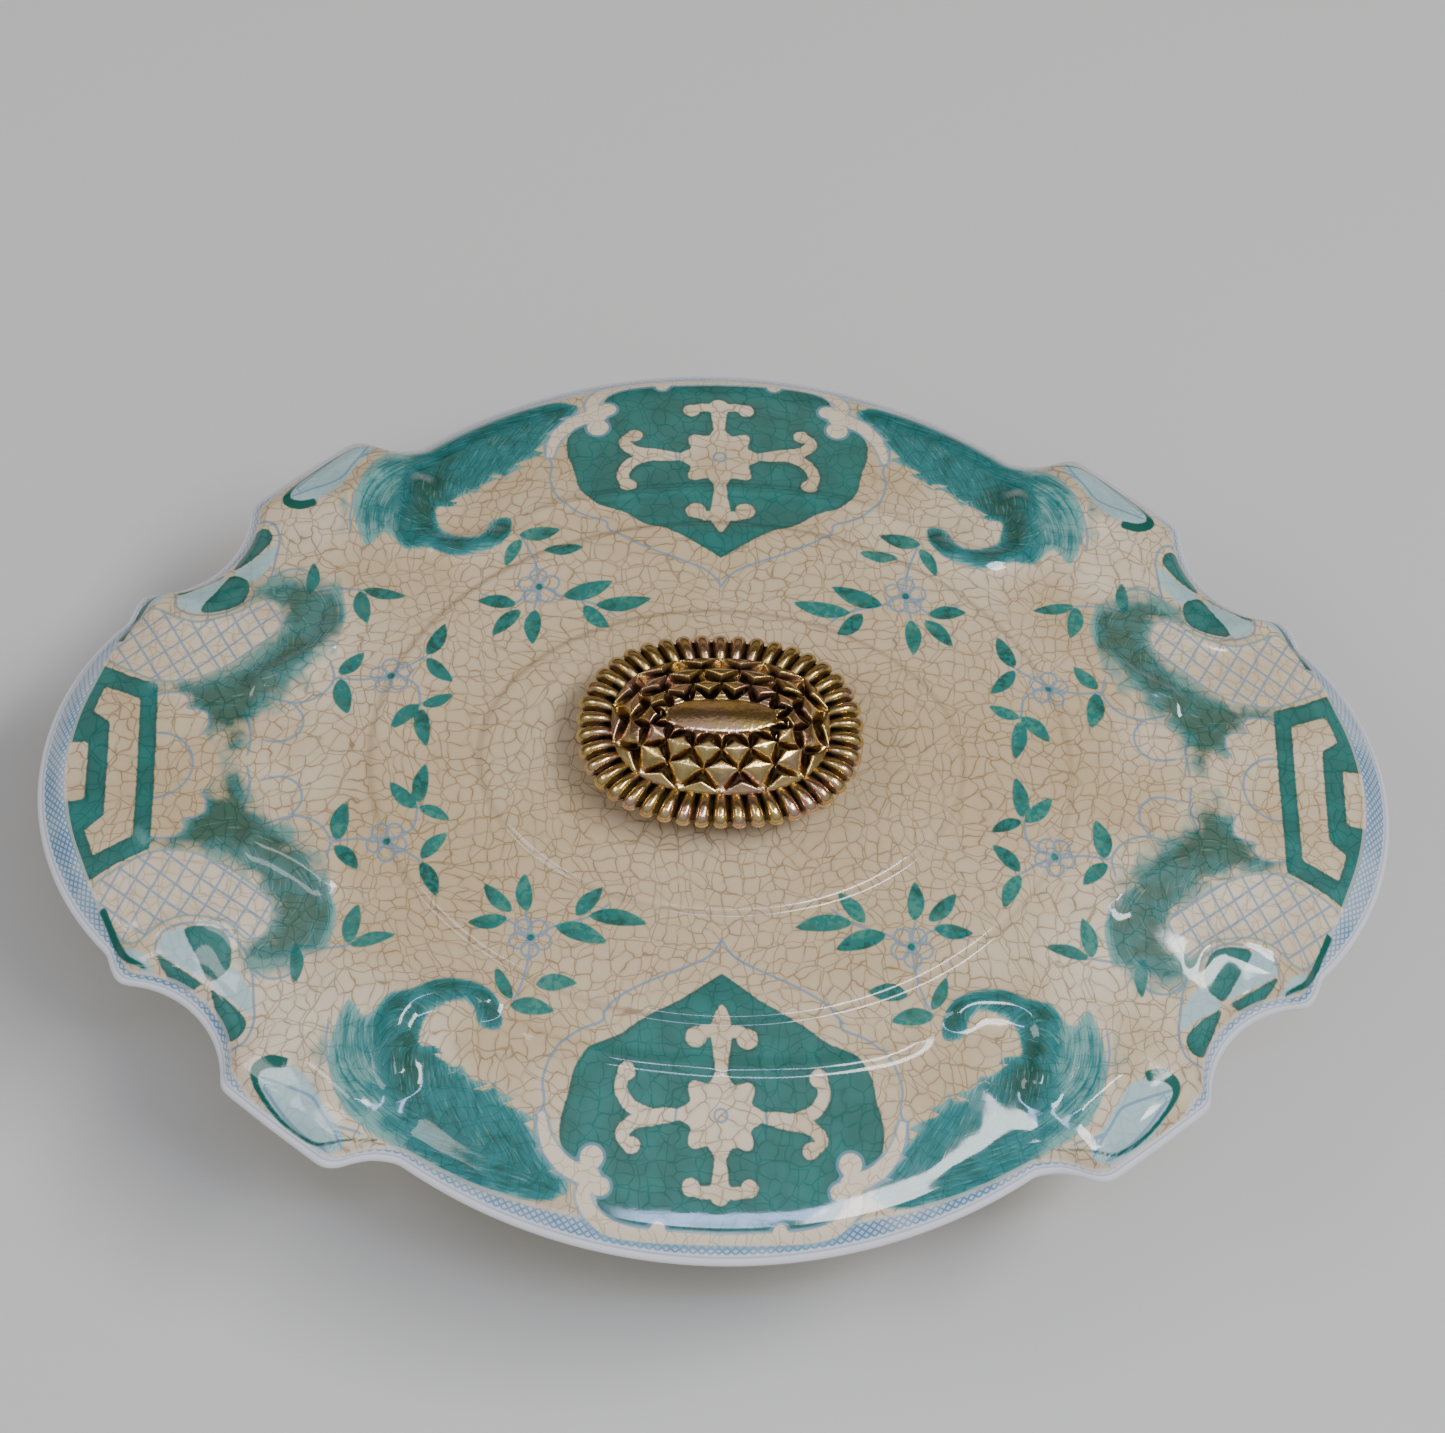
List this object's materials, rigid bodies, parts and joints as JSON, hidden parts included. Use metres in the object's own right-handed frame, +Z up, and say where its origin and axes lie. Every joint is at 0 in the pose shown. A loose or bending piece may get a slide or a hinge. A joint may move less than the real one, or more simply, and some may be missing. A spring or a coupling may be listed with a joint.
{
  "type": "covered serving bowl",
  "caption": "Lobed oval porcelain serving bowl with an overhanging domed lid, painted scrollwork and a faceted cast brass knob; the lid lifts off.",
  "frame": {"origin": "bottom centre of the bowl's foot", "axes": "+X along the dish's length, +Y across it, +Z up through the knob"},
  "size_m": [0.3, 0.223, 0.1153],
  "materials": {
    "porcelain": "gloss",
    "knob_brass": "satin",
    "fixing_brass": "satin",
    "pad": "matte"
  },
  "bodies": {
    "bowl": {"bowl": "porcelain"},
    "lid": {"lid": "porcelain", "knob": "knob_brass", "collar": "knob_brass", "pad_upper": "pad", "pad_lower": "pad", "stud": "fixing_brass", "washer": "fixing_brass", "nut": "fixing_brass"}
  },
  "joints": [
    {"name": "lid_lift", "type": "slide", "parent": "bowl", "child": "lid", "axis": [0, 0, 1], "range_m": [0, 0.13]}
  ]
}
